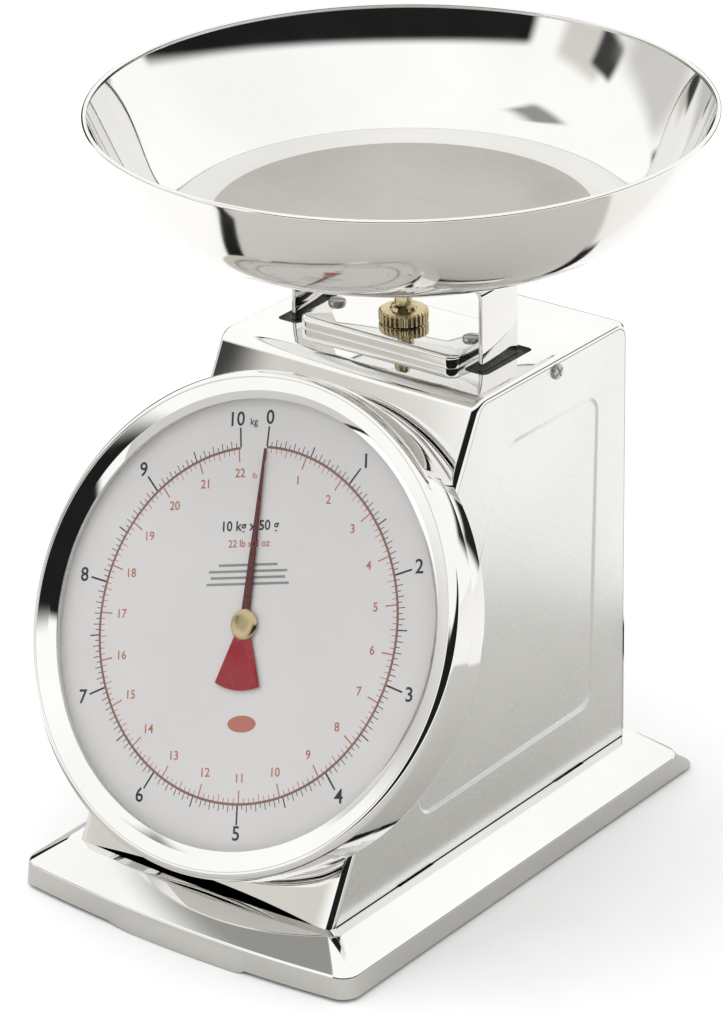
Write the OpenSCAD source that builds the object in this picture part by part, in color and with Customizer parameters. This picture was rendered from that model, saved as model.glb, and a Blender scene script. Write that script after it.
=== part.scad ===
// Mechanical dial kitchen scale with a lift-off bowl.
// Millimetres, +Z up, front (the dial) towards -Y, origin under the middle of
// the outer box, on the plane of the feet.

/* [View] */
// Sub-part to show, or all of them

/* [Case] */
// Outside width of the case
case_w = 138; // [130:1:146]
// Height of the case top above the floor
case_top = 225.5; // [220:0.5:230]
// Depth of the case at its foot, from front to back
case_depth = 220; // [212:1:228]
// How far the dial face leans back from upright, degrees
lean = 28; // [26:0.5:29]
// Sheet thickness of the case and base
sheet = 1.2; // [1:0.1:1.5]
// Height, in the middle, of the arched slit under the case front
foot_slit = 3; // [1.5:0.5:4]

/* [Base] */
// Width of the base tray at its skirt
base_w = 180; // [172:1:190]
// Height of the ledge that the case stands on
ledge_z = 21.7; // [20:0.1:24]
// How far the front of the base bows out in the middle
base_bow = 5; // [2:0.5:7]

/* [Dial] */
// Outside radius of the bezel
bezel_r = 108.2; // [104:0.1:109]
// Radius of the opening in the bezel
window_r = 96; // [90:1:98]
// Distance of the dial centre up the sloping front
dial_up = 113; // [111:0.5:116]
// Distance of the bezel's front plane from the case front
bezel_out = 28.2; // [27.5:0.1:30]

/* [Bowl] */
// Radius of the bowl at its rim
bowl_r = 135; // [125:1:140]
// Height of the bowl's rim above the floor
bowl_top = 330; // [325:1:335]
// Radius of the bowl's flat bottom
bowl_flat_r = 90; // [80:1:96]

/* [Pointer] */
// Pointer angle clockwise from straight up the face, degrees
pointer_rest = -10.6; // [-16:0.1:0]

/* [Hidden] */
$fn = 96;
cut = 1;            // overrun of a cutting shape past the face it opens
fit_gap = 0.3;      // clearance between loose neighbours
slip = 0.06;        // radial clearance of a running fit

steel = [0.82, 0.82, 0.80];
satin = [0.70, 0.70, 0.68];
brass = [0.78, 0.62, 0.30];
black = [0.08, 0.08, 0.08];
red = [0.62, 0.05, 0.06];

// lengths run from the case's bottom front edge; the frame's origin is moved
// back to the middle of the outer box
lip_front = -24.5;
mast_y = 148.5;     // bowl, posts, springs and zero nut share this line
mid_y = (lip_front + mast_y + bowl_r) / 2;
half_w = case_w / 2;
dial_y = dial_up * sin(lean);
dial_z = ledge_z + dial_up * cos(lean);
slit_half = case_w / 2 - 9;
slit_r = (pow(slit_half, 2) + pow(foot_slit, 2)) / (2 * foot_slit);

// base
skirt_z = 1.5;
crease_z = 11.6;
crease_drop = 0.7;  // skirt spreads this much below the crease
rear_flare = 12;    // the same at the back, where the skirt runs out to a toe
corner_r = 9;
crease_front = -15.8;
crease_back = case_depth + 16.3;
ledge_half = half_w + 5.4;
ledge_front = -3.7;
ledge_back = case_depth + 4;
lip_half = 38;
lip_z = 6;
foot_r = 9;
foot_h = 4;
foot_stem_r = 3;
foot_x = base_w / 2 - 20;
foot_front = 6;
foot_back = case_depth - 6;
tab_from = [47, 163];
tab_to = [72, 185];
tab_drop = 7;

// case
bend_r = 9;
panel_mark = [
    [case_depth - 28.7, ledge_z + 27.3], [case_depth - 24, case_top - 28.4],
    [130.5, case_top - 28], [58.7, ledge_z + 25.7]
];
panel_depth = 0.8;
screw_r = 2;
screw_hole_r = 2.2;
side_screw_y = mast_y + 16;
side_screw_z = case_top - 6.5;
flange_h = 12;

// posts
strap_t = 2;
strap_w = 26;
post_x = 50;        // middle of each post's thickness
strap_top = 262;
strap_foot = 62;
slot_w = 12;
slot_l = 36;

// bridge and zero nut
bridge_half = 42;
bridge_depth = 42;
bridge_top = case_top + 6;
bridge_t = 1.5;
bridge_screw_x = 36;
stem_r = 3;
knob_r = 11;
knob_z = bridge_top + 0.1;
knob_h = 5.8;
neck_r = 3.8;
neck_top = case_top + 20;
hanger_z = 203;
hanger_h = 6;

// springs
spring_x = 22;
coil_r = 8;
wire_r = 0.9;
anchor_r = 1.5;
upper_pin_z = 194.5;
lower_pin_z = 76;
plate_y = mast_y + 7;   // plate that carries the spring pins
rod_r = 4;
bush_r = 6;

// dial, measured outwards from the case front
card_z = 20;
card_t = 1;
glass_t = 1;
bezel_t = 1.2;
glass_z = bezel_out - 4.3;
glass_top = glass_z + glass_t;
bezel_skirt_z = 14;
bezel_in_r = bezel_r - 1.85;
drum_r = bezel_in_r - 0.35;
drum_h = card_z - 0.5;
card_r = bezel_in_r - 0.2;
drum_screw = 36;

// gear train
gear_module = 0.4;
gear_teeth = 11;
gear_r = gear_module * gear_teeth / 2;
gear_z = -17;       // middle of the gear's width
gear_w = 6;
shaft_r = 1;
frame_back = -33;
rack_tooth = PI * gear_module;
rack_low = -6;
rack_high = 30;
rack_back = 8.6;
rack_pin_up = 26;
rack_pin_r = 1.5;
arm_x = 12;
arm_t = 2;
pin_y = dial_y + rack_pin_up * sin(lean) - gear_z * cos(lean);
pin_z = dial_z + rack_pin_up * cos(lean) + gear_z * sin(lean);
pin_run = 6.4;      // how far the pin slides in its slot over the full load

// bowl
bowl_t = 1;
bowl_low = 281.5;
pan_r = 70;

function unit(v) = v / norm(v);

// the points of one outline corner p between its neighbours a and b
function corner(p, a, b, r, n = 8) =
    r == 0 ? [p] :
    let (
        u = unit(a - p),
        w = unit(b - p),
        half = acos(u * w) / 2,
        c = p + unit(u + w) * r / sin(half),
        s = p + u * r / tan(half) - c,
        e = p + w * r / tan(half) - c,
        from = atan2(s[1], s[0]),
        turn = (atan2(e[1], e[0]) - from + 540) % 360 - 180
    )
    [for (i = [0:n]) c + r * [cos(from + turn * i / n), sin(from + turn * i / n)]];

function rounded(points, radii) = let (n = len(points)) [
    for (i = [0:n - 1])
        each corner(points[i], points[(i + n - 1) % n], points[(i + 1) % n], radii[i])
];

// side outline of the case, shrunk by t and with its foot at z = foot
function case_points(t, foot) = rounded([
    [t / cos(lean) + (foot - ledge_z) * tan(lean), foot],
    [t / cos(lean) + (case_top - t - ledge_z) * tan(lean), case_top - t],
    [case_depth - t, case_top - t],
    [case_depth - t, foot]
], [0, bend_r - t, bend_r - t, 0]);

// base outline with a bowed front
function tray_points(half, front, back, r, bow, n = 16) = let (
    p = [[-half, front], [half, front], [half, back], [-half, back]],
    run = half - r
) concat(
    corner(p[0], p[3], p[1], r),
    [for (i = [1:n - 1]) let (x = run * (2 * i / n - 1))
        [x, front - bow * (1 - pow(x / run, 2))]],
    corner(p[1], p[0], p[2], r),
    corner(p[2], p[1], p[3], r),
    corner(p[3], p[2], p[0], r)
);

module place() {
    translate([0, -mid_y, 0]) children();
}

// x to the right, y up the slope and z out of the case front, from the dial's
// axis
module on_front() {
    place() translate([0, dial_y, dial_z]) rotate([90 - lean, 0, 0]) children();
}

// sets a y-z outline upright and gives it a width along x
module along_x(width) {
    rotate([90, 0, 90]) linear_extrude(width) children();
}

module slab(x, y, z) {
    translate([x[0], y[0], z[0]]) cube([x[1] - x[0], y[1] - y[0], z[1] - z[0]]);
}

module rod(r, from, to) {
    translate([0, 0, from]) cylinder(r = r, h = to - from);
}

module hex_nut(across, bore, from, to) {
    translate([0, 0, from]) difference() {
        cylinder(r = across / 2 / cos(30), h = to - from, $fn = 6);
        translate([0, 0, -cut]) cylinder(r = bore, h = to - from + 2 * cut);
    }
}

// ---------------------------------------------------------------- base

module tray_solid(t) {
    half = base_w / 2 - t;
    hull() {
        translate([0, 0, ledge_z - t - 0.01]) linear_extrude(0.01)
            polygon(tray_points(ledge_half - t, ledge_front + t, ledge_back - t, 5, base_bow * 0.6));
        translate([0, 0, crease_z]) linear_extrude(0.01)
            polygon(tray_points(half - crease_drop, crease_front + t,
                crease_back - t, corner_r, base_bow));
    }
    hull() {
        translate([0, 0, crease_z]) linear_extrude(0.01)
            polygon(tray_points(half - crease_drop, crease_front + t,
                crease_back - t, corner_r, base_bow));
        translate([0, 0, skirt_z]) linear_extrude(0.01)
            polygon(tray_points(half, crease_front - crease_drop + t,
                crease_back + rear_flare - t, corner_r, base_bow));
    }
}

// the tongue along the middle of the front edge
module tray_lip() {
    root = crease_front - base_bow + 1.2;
    translate([-lip_half, 0, 0]) along_x(2 * lip_half) polygon([
        [root, skirt_z], [lip_front, skirt_z], [lip_front, lip_z - 1.5],
        [lip_front + 1.5, lip_z], [root, lip_z + 3]
    ]);
}

module base_tray() color(steel) place() difference() {
    union() {
        tray_solid(0);
        tray_lip();
    }
    difference() {
        tray_solid(sheet);
        slab([-lip_half, lip_half], [lip_front, crease_front - base_bow + 2.2], [0, crease_z]);
    }
    translate([0, 0, skirt_z - cut]) linear_extrude(cut + 0.02)
        polygon(tray_points(base_w / 2 - 2 * sheet, crease_front + 2 * sheet,
            crease_back - 2 * sheet, corner_r - 2, base_bow));
    for (side = [-1, 1], i = [0, 1])
        slab(side > 0 ? [half_w - sheet - fit_gap, half_w + fit_gap]
                : [-half_w - fit_gap, -half_w + sheet + fit_gap],
            [tab_from[i] - fit_gap, tab_to[i] + fit_gap], [ledge_z - 3, ledge_z + cut]);
    translate([0, mast_y, 0]) rod(rod_r + 1, ledge_z - 3, ledge_z + cut);
}

module floor_plate() color(satin) place() difference() {
    translate([0, 0, foot_h]) linear_extrude(sheet)
        polygon(tray_points(base_w / 2 - sheet - 0.4, crease_front + sheet + 0.3,
            crease_back - sheet - 0.3, corner_r - 1, base_bow - 1.4));
    foot_positions() rod(foot_stem_r + 0.1, 0, 10);
}

module foot_positions() {
    for (x = [-foot_x, foot_x], y = [foot_front, foot_back]) translate([x, y, 0]) children();
}

module rubber_feet() color(black) place() foot_positions() difference() {
    union() {
        rod(foot_r, 0, foot_h);
        rod(foot_stem_r, foot_h - 0.5, foot_h + 3);
    }
    rod(1.6, 1.5, foot_h + 4);
    rod(3.6, -cut, 1.5);
}

module foot_screws() color(satin) place() foot_positions() {
    rod(3.2, 0.3, 1.5);
    rod(1.5, 1.4, foot_h + 3);
    hex_nut(6, 1.5, foot_h + 3, foot_h + 5.2);
}

// ---------------------------------------------------------------- case

module wrap_cover() color(steel) place() difference() {
    union() {
        translate([-half_w + sheet, 0, 0]) along_x(case_w - 2 * sheet) difference() {
            polygon(case_points(0, ledge_z));
            polygon(case_points(sheet, ledge_z - 5));
        }
        for (x = [-half_w + sheet, half_w - 2 * sheet])
            slab([x, x + sheet], [side_screw_y - 24, side_screw_y + 24],
                [case_top - sheet - flange_h, case_top - sheet]);
    }
    for (x = [-post_x, post_x])
        slab([x - slot_w / 2, x + slot_w / 2], [mast_y - slot_l / 2, mast_y + slot_l / 2],
            [case_top - 3, case_top + cut]);
    translate([0, mast_y, 0]) {
        rod(stem_r + 0.6, case_top - 3, case_top + cut);
        for (x = [-bridge_screw_x, bridge_screw_x])
            translate([x, 0, 0]) rod(screw_hole_r, case_top - 3, case_top + cut);
    }
    side_screw_line(screw_hole_r);
    // arched slit where the front meets the ledge
    translate([0, -3, ledge_z + foot_slit - slit_r]) rotate([-90, 0, 0])
        cylinder(r = slit_r, h = 8, $fn = 720);
    front_line() rod(bush_r + 0.2, -3, cut);
    front_line() drum_screw_positions() rod(screw_hole_r, -3, cut);
}

// the dial's own frame, when already inside place()
module front_line() {
    translate([0, dial_y, dial_z]) rotate([90 - lean, 0, 0]) children();
}

module drum_screw_positions() {
    for (x = [-drum_screw, drum_screw], y = [-drum_screw, drum_screw])
        translate([x, y, 0]) children();
}

module side_screw_line(r) {
    translate([-half_w - cut, side_screw_y, side_screw_z]) rotate([0, 90, 0])
        cylinder(r = r, h = case_w + 2 * cut, $fn = 48);
}

module side_panel() difference() {
    union() {
        translate([half_w - sheet, 0, 0]) along_x(sheet) polygon(case_points(0, ledge_z));
        translate([half_w - sheet - panel_depth, 0, 0]) along_x(panel_depth + 0.1)
            offset(delta = sheet) polygon(rounded(panel_mark, [8, 8, 8, 8]));
        for (i = [0, 1])
            slab([half_w - sheet, half_w], [tab_from[i], tab_to[i]],
                [ledge_z - tab_drop, ledge_z + 1]);
    }
    translate([half_w - panel_depth, 0, 0]) along_x(panel_depth + cut)
        polygon(rounded(panel_mark, [8, 8, 8, 8]));
    side_screw_line(screw_hole_r);
}

module side_panel_right() color(satin) place() side_panel();

module side_panel_left() color(satin) place() mirror([1, 0, 0]) side_panel();

module side_screws() color(satin) place() for (side = [0, 1]) mirror([side, 0, 0])
    translate([half_w, side_screw_y, side_screw_z]) rotate([0, 90, 0]) difference() {
        union() {
            rod(3.6, 0, 1.8);
            rod(screw_r, -7, 0.5);
        }
        slab([-0.5, 0.5], [-4, 4], [1, 3]);
        slab([-4, 4], [-0.5, 0.5], [1, 3]);
    }

// ---------------------------------------------------------------- drum

module dial_drum() color(steel) on_front() difference() {
    rod(drum_r, 0, drum_h);
    rod(drum_r - sheet, sheet, drum_h + cut);
    rod(bush_r + 0.2, -cut, 3);
    drum_screw_positions() rod(screw_hole_r, -cut, 3);
}

module drum_screws() color(satin) on_front() drum_screw_positions() {
    rod(4, sheet, sheet + 2);
    rod(screw_r, -8, sheet + 1);
}

module drum_nuts() color(satin) on_front() drum_screw_positions()
    hex_nut(7, screw_r, -sheet - 2 - 3.2, -sheet - 2);

// bracket behind the case front that carries the pointer's shaft
module mechanism_frame() color(satin) on_front() difference() {
    union() {
        slab([-42, 42], [-42, 42], [-sheet - 2, -sheet]);
        for (x = [-30, 28]) slab([x, x + 2], [-22, 8], [frame_back, -sheet - 1]);
        slab([-30, 30], [-22, 8], [frame_back, frame_back + 2]);
    }
    rod(bush_r, -6, 0);
    rod(3, frame_back - cut, frame_back + 3);
    drum_screw_positions() rod(screw_hole_r, -6, 0);
}

module bearing_front() color(brass) on_front() difference() {
    union() {
        rod(bush_r, -sheet - 2, sheet);
        rod(9, sheet, sheet + 1.5);
    }
    rod(shaft_r + slip, -6, 6);
}

module bearing_rear() color(brass) on_front() difference() {
    union() {
        rod(3, frame_back, frame_back + 2);
        rod(5, frame_back + 2, frame_back + 4);
    }
    rod(shaft_r + slip, frame_back - cut, frame_back + 5);
}

// block that keeps the rack in mesh
module rack_guide() color(black) on_front()
    slab([rack_back + 0.1, arm_x - 1], [-6, 6], [gear_z - 4, -sheet - 2]);

// ---------------------------------------------------------------- top

module suspension_bridge() color(steel) place() translate([0, mast_y, 0]) difference() {
    slab([-bridge_half, bridge_half], [-bridge_depth / 2, bridge_depth / 2],
        [case_top, bridge_top]);
    slab([-bridge_half + bridge_t, bridge_half - bridge_t],
        [-bridge_depth / 2 + bridge_t, bridge_depth / 2 - bridge_t],
        [case_top - cut, bridge_top - bridge_t]);
    rod(stem_r + 0.6, case_top, bridge_top + cut);
    for (x = [-bridge_screw_x, bridge_screw_x])
        translate([x, 0, 0]) rod(screw_hole_r, case_top, bridge_top + cut);
}

module bridge_screws() color(satin) place() for (x = [-bridge_screw_x, bridge_screw_x])
    translate([x, mast_y, 0]) difference() {
        union() {
            rod(4, bridge_top, bridge_top + 2);
            rod(screw_r, case_top - 7, bridge_top + 1);
        }
        slab([-0.5, 0.5], [-5, 5], [bridge_top + 1.2, bridge_top + 3]);
    }

module bridge_nuts() color(satin) place() for (x = [-bridge_screw_x, bridge_screw_x])
    translate([x, mast_y, 0]) hex_nut(7, screw_r, case_top - sheet - 3.2, case_top - sheet);

module zero_stem() color(satin) place() translate([0, mast_y, 0])
    rod(stem_r, hanger_z, neck_top + 1.5);

module zero_nut() color(brass) place() translate([0, mast_y, 0]) difference() {
    union() {
        rod(knob_r, knob_z, knob_z + knob_h);
        rod(neck_r + 2, knob_z + knob_h, knob_z + knob_h + 2);
        rod(neck_r, knob_z + knob_h + 2, neck_top);
    }
    rod(stem_r + slip, knob_z - cut, neck_top + cut);
    for (a = [0:12:348]) rotate(a) translate([knob_r + 0.2, 0, 0])
        rod(0.7, knob_z - cut, knob_z + knob_h + cut);
}

module spring_hanger() color(satin) place() difference() {
    union() {
        slab([-30, 30], [mast_y - 5, plate_y + 2], [hanger_z, hanger_z + hanger_h]);
        slab([-30, 30], [plate_y, plate_y + 2], [upper_pin_z - 6, hanger_z + 1]);
        for (x = [-spring_x, spring_x]) translate([x, plate_y + 0.5, upper_pin_z])
            rotate([90, 0, 0]) cylinder(r = anchor_r, h = 11.5);
    }
    translate([0, mast_y, 0]) rod(stem_r, hanger_z - cut, hanger_z + hanger_h + cut);
}

// ---------------------------------------------------------------- springs

// radius at which a hook's wire wraps its anchor
hook_r = anchor_r + wire_r + 0.05;

// points along the wire, each with the direction that sets its section's roll
function hook_path() = concat(
    [for (a = [230:-20:-50]) [hook_r * cos(a), 0, hook_r * sin(a)]],
    [[0, 0, -5], [0.6, 0, -6.6], [3, 0, -8], [6, 0, -8.6]]
);

function coil_path(top, low, turns, per_turn = 12) = let (n = turns * per_turn) [
    for (i = [0:n]) let (a = 360 * i / per_turn) [
        [coil_r * cos(a), coil_r * sin(a), top + (low - top) * i / n],
        [-cos(a), -sin(a), 0]
    ]
];

function wire_ring(p, t, a, n) = let (b = unit(cross(t, a)), c = cross(b, t))
    [for (k = [0:n - 1]) p + wire_r * (cos(360 * k / n) * c + sin(360 * k / n) * b)];

module swept_wire(path, sides = 6) {
    last = len(path) - 1;
    rings = [for (i = [0:last]) let (
        t = unit(path[min(i + 1, last)][0] - path[max(i - 1, 0)][0])
    ) wire_ring(path[i][0], t, path[i][1], sides)];
    points = [for (r = rings) each r];
    walls = [for (i = [0:last - 1], k = [0:sides - 1]) let (
        a = i * sides + k,
        b = i * sides + (k + 1) % sides
    ) each [[a, b, b + sides], [a, b + sides, a + sides]]];
    ends = [
        [for (k = [sides - 1:-1:0]) k],
        [for (k = [0:sides - 1]) last * sides + k]
    ];
    polyhedron(points, concat(walls, ends), convexity = 20);
}

module spring(x) place() translate([x, mast_y, 0]) {
    hook = hook_path();
    swept_wire(concat(
        [for (p = hook) [[p[0], 0, upper_pin_z + p[2]], [0, 1, 0]]],
        coil_path(upper_pin_z - 9, lower_pin_z + 9, 24),
        [for (i = [len(hook) - 1:-1:0]) [[hook[i][0], 0, lower_pin_z - hook[i][2]], [0, -1, 0]]]
    ));
}

module spring_left() color(satin) spring(-spring_x);

module spring_right() color(satin) spring(spring_x);

// ---------------------------------------------------------------- load frame

module strap_guides() color(black) place() for (x = [-post_x, post_x]) difference() {
    slab([x - 8, x + 10], [mast_y - 22, mast_y + 22], [case_top - sheet - 8, case_top - sheet]);
    slab([x - strap_t / 2 - fit_gap, x + strap_t / 2 + fit_gap],
        [mast_y - strap_w / 2 - fit_gap, mast_y + strap_w / 2 + fit_gap],
        [case_top - sheet - 9, case_top]);
}

module guide_rod() color(satin) place() translate([0, mast_y, 0]) {
    rod(12, foot_h + sheet, foot_h + sheet + 3);
    rod(rod_r, foot_h + sheet + 2, 92);
}

// inverted U of flat strap that carries the bowl's support
module load_strap() color(steel) place() difference() {
    union() {
        for (x = [-post_x - strap_t / 2, post_x - strap_t / 2])
            slab([x, x + strap_t], [mast_y - strap_w / 2, mast_y + strap_w / 2],
                [strap_foot, strap_top]);
        slab([-post_x, post_x], [mast_y - strap_w / 2, mast_y + strap_w / 2],
            [strap_top - strap_t, strap_top]);
    }
    for (x = [-18, 18]) translate([x, mast_y, 0]) rod(screw_hole_r, strap_top - 3, strap_top + cut);
    crossbar_rivet_lines(1.6);
}

module crossbar_rivet_lines(r) {
    for (y = [mast_y - 7, mast_y + 7])
        translate([-post_x - 5, y, strap_foot + 6]) rotate([0, 90, 0])
            cylinder(r = r, h = 2 * post_x + 10, $fn = 32);
}

module lower_crossbar() color(satin) place() difference() {
    union() {
        slab([-post_x + strap_t / 2, post_x - strap_t / 2],
            [mast_y - strap_w / 2, mast_y + strap_w / 2], [strap_foot, strap_foot + strap_t]);
        for (x = [-post_x + strap_t / 2, post_x - strap_t * 1.5])
            slab([x, x + strap_t], [mast_y - strap_w / 2, mast_y + strap_w / 2],
                [strap_foot, strap_foot + 12]);
    }
    translate([0, mast_y, 0]) rod(bush_r, strap_foot - cut, strap_foot + 4);
    crossbar_rivet_lines(1.6);
}

module crossbar_rivets() color(satin) place()
    for (side = [0, 1], y = [mast_y - 7, mast_y + 7]) mirror([side, 0, 0])
        translate([post_x, y, strap_foot + 6]) rotate([0, 90, 0]) {
            rod(1.6, -strap_t * 1.5, strap_t / 2);
            rod(2.8, strap_t / 2, strap_t / 2 + 1.2);
            rod(2.8, -strap_t * 1.5 - 1.2, -strap_t * 1.5);
        }

module spring_anchor() color(satin) place() {
    slab([-32, 32], [plate_y, plate_y + 2], [strap_foot + strap_t, lower_pin_z + 6]);
    for (x = [-spring_x, spring_x]) translate([x, plate_y + 0.5, lower_pin_z])
        rotate([90, 0, 0]) cylinder(r = anchor_r, h = 11.5);
}

module guide_bush() color(brass) place() translate([0, mast_y, 0]) difference() {
    union() {
        rod(bush_r, strap_foot - 3, strap_foot + strap_t);
        rod(bush_r + 2, strap_foot - 5, strap_foot);
    }
    rod(rod_r + slip, strap_foot - 6, strap_foot + 3);
}

// arm from the posts to the rack, with a level slot for the rack's pin
module rack_arm() color(satin) place() difference() {
    union() {
        slab([-post_x + strap_t / 2, post_x - strap_t / 2],
            [mast_y - strap_w / 2, mast_y - strap_w / 2 + 2.5], [pin_z - 7, pin_z + 7]);
        slab([arm_x, arm_x + arm_t], [pin_y - pin_run - 6, mast_y - strap_w / 2 + 1],
            [pin_z - 6, pin_z + 6]);
    }
    hull() for (y = [pin_y - pin_run - 0.5, pin_y + 0.5])
        translate([arm_x - cut, y, pin_z]) rotate([0, 90, 0])
            cylinder(r = rack_pin_r + 0.1, h = arm_t + 2 * cut, $fn = 32);
}

// ---------------------------------------------------------------- bowl

// pressed saucer between the strap and the bowl
module pan_support() color(satin) place() translate([0, mast_y, 0]) difference() {
    rotate_extrude() polygon([
        [0, strap_top], [34, strap_top], [62, bowl_low - 4], [pan_r - 4, bowl_low - 1.2],
        [pan_r, bowl_low - 1.2], [pan_r, bowl_low - 0.05], [pan_r - 4.5, bowl_low - 0.05],
        [61, bowl_low - 2.6], [33.5, strap_top + 1.2], [0, strap_top + 1.2]
    ]);
    for (x = [-18, 18]) translate([x, 0, 0]) rod(screw_hole_r, strap_top - cut, strap_top + 3);
}

module pan_rivets() color(satin) place() for (x = [-18, 18]) translate([x, mast_y, 0]) {
    rod(4.5, strap_top + 1.2, strap_top + 2.6);
    rod(screw_hole_r, strap_top - strap_t, strap_top + 1.3);
    rod(4, strap_top - strap_t - 1.4, strap_top - strap_t);
}

// a wall of the bowl, from the flat bottom up to the rim
function bowl_wall(flat, wide, low, top, n = 22) = [
    for (i = [0:n]) let (out = sin(90 * i / n)) [
        flat + (wide - flat) * out,
        low + (top - low) * pow(out, 2.3)
    ]
];

module bowl() color(steel) place() translate([0, mast_y, 0]) {
    bead = 1;
    outer = bowl_wall(bowl_flat_r, bowl_r - bead, bowl_low, bowl_top - 2);
    inner = bowl_wall(bowl_flat_r - 0.4, bowl_r - bead - bowl_t, bowl_low + bowl_t, bowl_top - 2);
    rotate_extrude($fn = 128) polygon(concat(
        [[0, bowl_low]], outer,
        [[bowl_r, bowl_top - 1.6], [bowl_r, bowl_top - 0.5], [bowl_r - 0.6, bowl_top],
            [bowl_r - 2, bowl_top], [bowl_r - 2.6, bowl_top - 0.6]],
        [for (i = [len(inner) - 1:-1:0]) inner[i]],
        [[0, bowl_low + bowl_t]]
    ));
}

// ---------------------------------------------------------------- dial face

// a rolled sheet ring, dished down from its crest to the glass
module bezel_ring() color(steel) on_front() rotate_extrude($fn = 128) polygon(concat(
    [[bezel_in_r, bezel_skirt_z], [bezel_r, bezel_skirt_z]],
    corner([bezel_r, bezel_out], [bezel_r, bezel_skirt_z], [window_r, bezel_out], 1.8),
    [[bezel_r - 2.4, bezel_out], [window_r + 3.5, bezel_out - 1.2],
        [window_r, glass_top + 0.6], [window_r, glass_top], [window_r + 3, glass_top],
        [bezel_r - 2.8, bezel_out - bezel_t], [bezel_in_r, bezel_out - bezel_t - 0.8]]
));

module dial_glass() color([0.9, 0.95, 0.95, 0.35]) on_front()
    rod(card_r, glass_z, glass_z + glass_t);

module glass_spacer() color([0.85, 0.85, 0.83]) on_front() difference() {
    rod(card_r, card_z + card_t, glass_z);
    rod(window_r + 3, card_z, glass_z + cut);
}

module dial_card() color([0.95, 0.93, 0.89]) on_front() difference() {
    rod(card_r, card_z, card_z + card_t);
    rod(4, card_z - cut, card_z + card_t + cut);
}

// ---------------------------------------------------------------- pointer

pointer_z = card_z + card_t + 1;
pointer_t = 0.5;
pointer_reach = 76;
tail_reach = 28;

module pointer() color(red) on_front() rotate(-pointer_rest) difference() {
    union() {
        translate([0, 0, pointer_z]) linear_extrude(pointer_t) {
            polygon([[-2.3, 0], [-0.5, pointer_reach], [0.5, pointer_reach], [2.3, 0]]);
            intersection() {
                polygon([[-3, 0], [-13, -tail_reach - 4], [13, -tail_reach - 4], [3, 0]]);
                circle(r = tail_reach);
            }
            circle(r = 5.5);
        }
        rod(2.5, card_z - 1.5, pointer_z + 0.1);
    }
    rod(shaft_r, card_z - 3, pointer_z + 2);
}

module pointer_nut() color(brass) on_front() difference() {
    dome = glass_z - 0.35 - pointer_z - pointer_t;
    foot_radius = 6.6;
    ball = (foot_radius * foot_radius + dome * dome) / (2 * dome);
    intersection() {
        translate([0, 0, pointer_z + pointer_t + dome - ball]) sphere(r = ball, $fn = 128);
        rod(foot_radius, pointer_z + pointer_t, glass_z);
    }
    rod(shaft_r, pointer_z, pointer_z + 1.2);
}

module spindle() color(satin) on_front() rod(shaft_r, frame_back - 0.8, pointer_z + 1.2);

function gear_points(tip, root) = [
    for (i = [0:gear_teeth - 1], k = [0:3]) let (
        a = 360 / gear_teeth * (i + 0.5) + 360 / gear_teeth * [-0.27, -0.09, 0.09, 0.27][k],
        r = (k == 0 || k == 3) ? root : tip
    ) r * [cos(a), sin(a)]
];

module pinion() color(brass) on_front()
    translate([0, 0, gear_z - gear_w / 2]) linear_extrude(gear_w) difference() {
        polygon(gear_points(gear_r + 0.3, gear_r - 0.5));
        circle(r = shaft_r, $fn = 48);
    }

// outline of the rack: its toothed edge, then its straight back
module rack() color(brass) on_front() {
    first = round((rack_low + 2) / rack_tooth);
    last = round((rack_high - 10) / rack_tooth);
    root = gear_r + 0.5;
    tip = gear_r - 0.3;
    translate([0, 0, gear_z - 2]) linear_extrude(4) polygon(concat(
        [[rack_back, rack_low], [root, rack_low]],
        [for (i = [first:last], p = [[root, -0.33], [tip, -0.1], [tip, 0.1], [root, 0.33]])
            [p[0], i * rack_tooth + p[1]]],
        [[root, rack_high], [rack_back, rack_high]]
    ));
}

module rack_pin() color(satin) on_front()
    translate([rack_back, rack_pin_up, gear_z]) rotate([0, 90, 0]) {
        cylinder(r = rack_pin_r, h = arm_x + arm_t + 0.5 - rack_back);
        translate([0, 0, arm_x + arm_t + 0.5 - rack_back]) cylinder(r = 2.6, h = 1);
    }

base_tray();
floor_plate();
rubber_feet();
foot_screws();
wrap_cover();
side_panel_left();
side_panel_right();
side_screws();
dial_drum();
drum_screws();
drum_nuts();
mechanism_frame();
bearing_front();
bearing_rear();
rack_guide();
suspension_bridge();
bridge_screws();
bridge_nuts();
zero_stem();
zero_nut();
spring_hanger();
spring_left();
spring_right();
strap_guides();
guide_rod();
load_strap();
lower_crossbar();
crossbar_rivets();
spring_anchor();
guide_bush();
rack_arm();
pan_support();
pan_rivets();
bowl();
bezel_ring();
dial_glass();
glass_spacer();
dial_card();
pointer();
pointer_nut();
spindle();
pinion();
rack();
rack_pin();
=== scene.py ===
"""Dial kitchen scale in polished steel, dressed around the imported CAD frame.

Lengths are in millimetres up to the point where a mesh is made. In the frame
+Z is up, +X is to the right of someone facing the dial, and -Y is the front.
"""
import math

import bmesh
import bpy
from mathutils import Matrix, Vector


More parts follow.
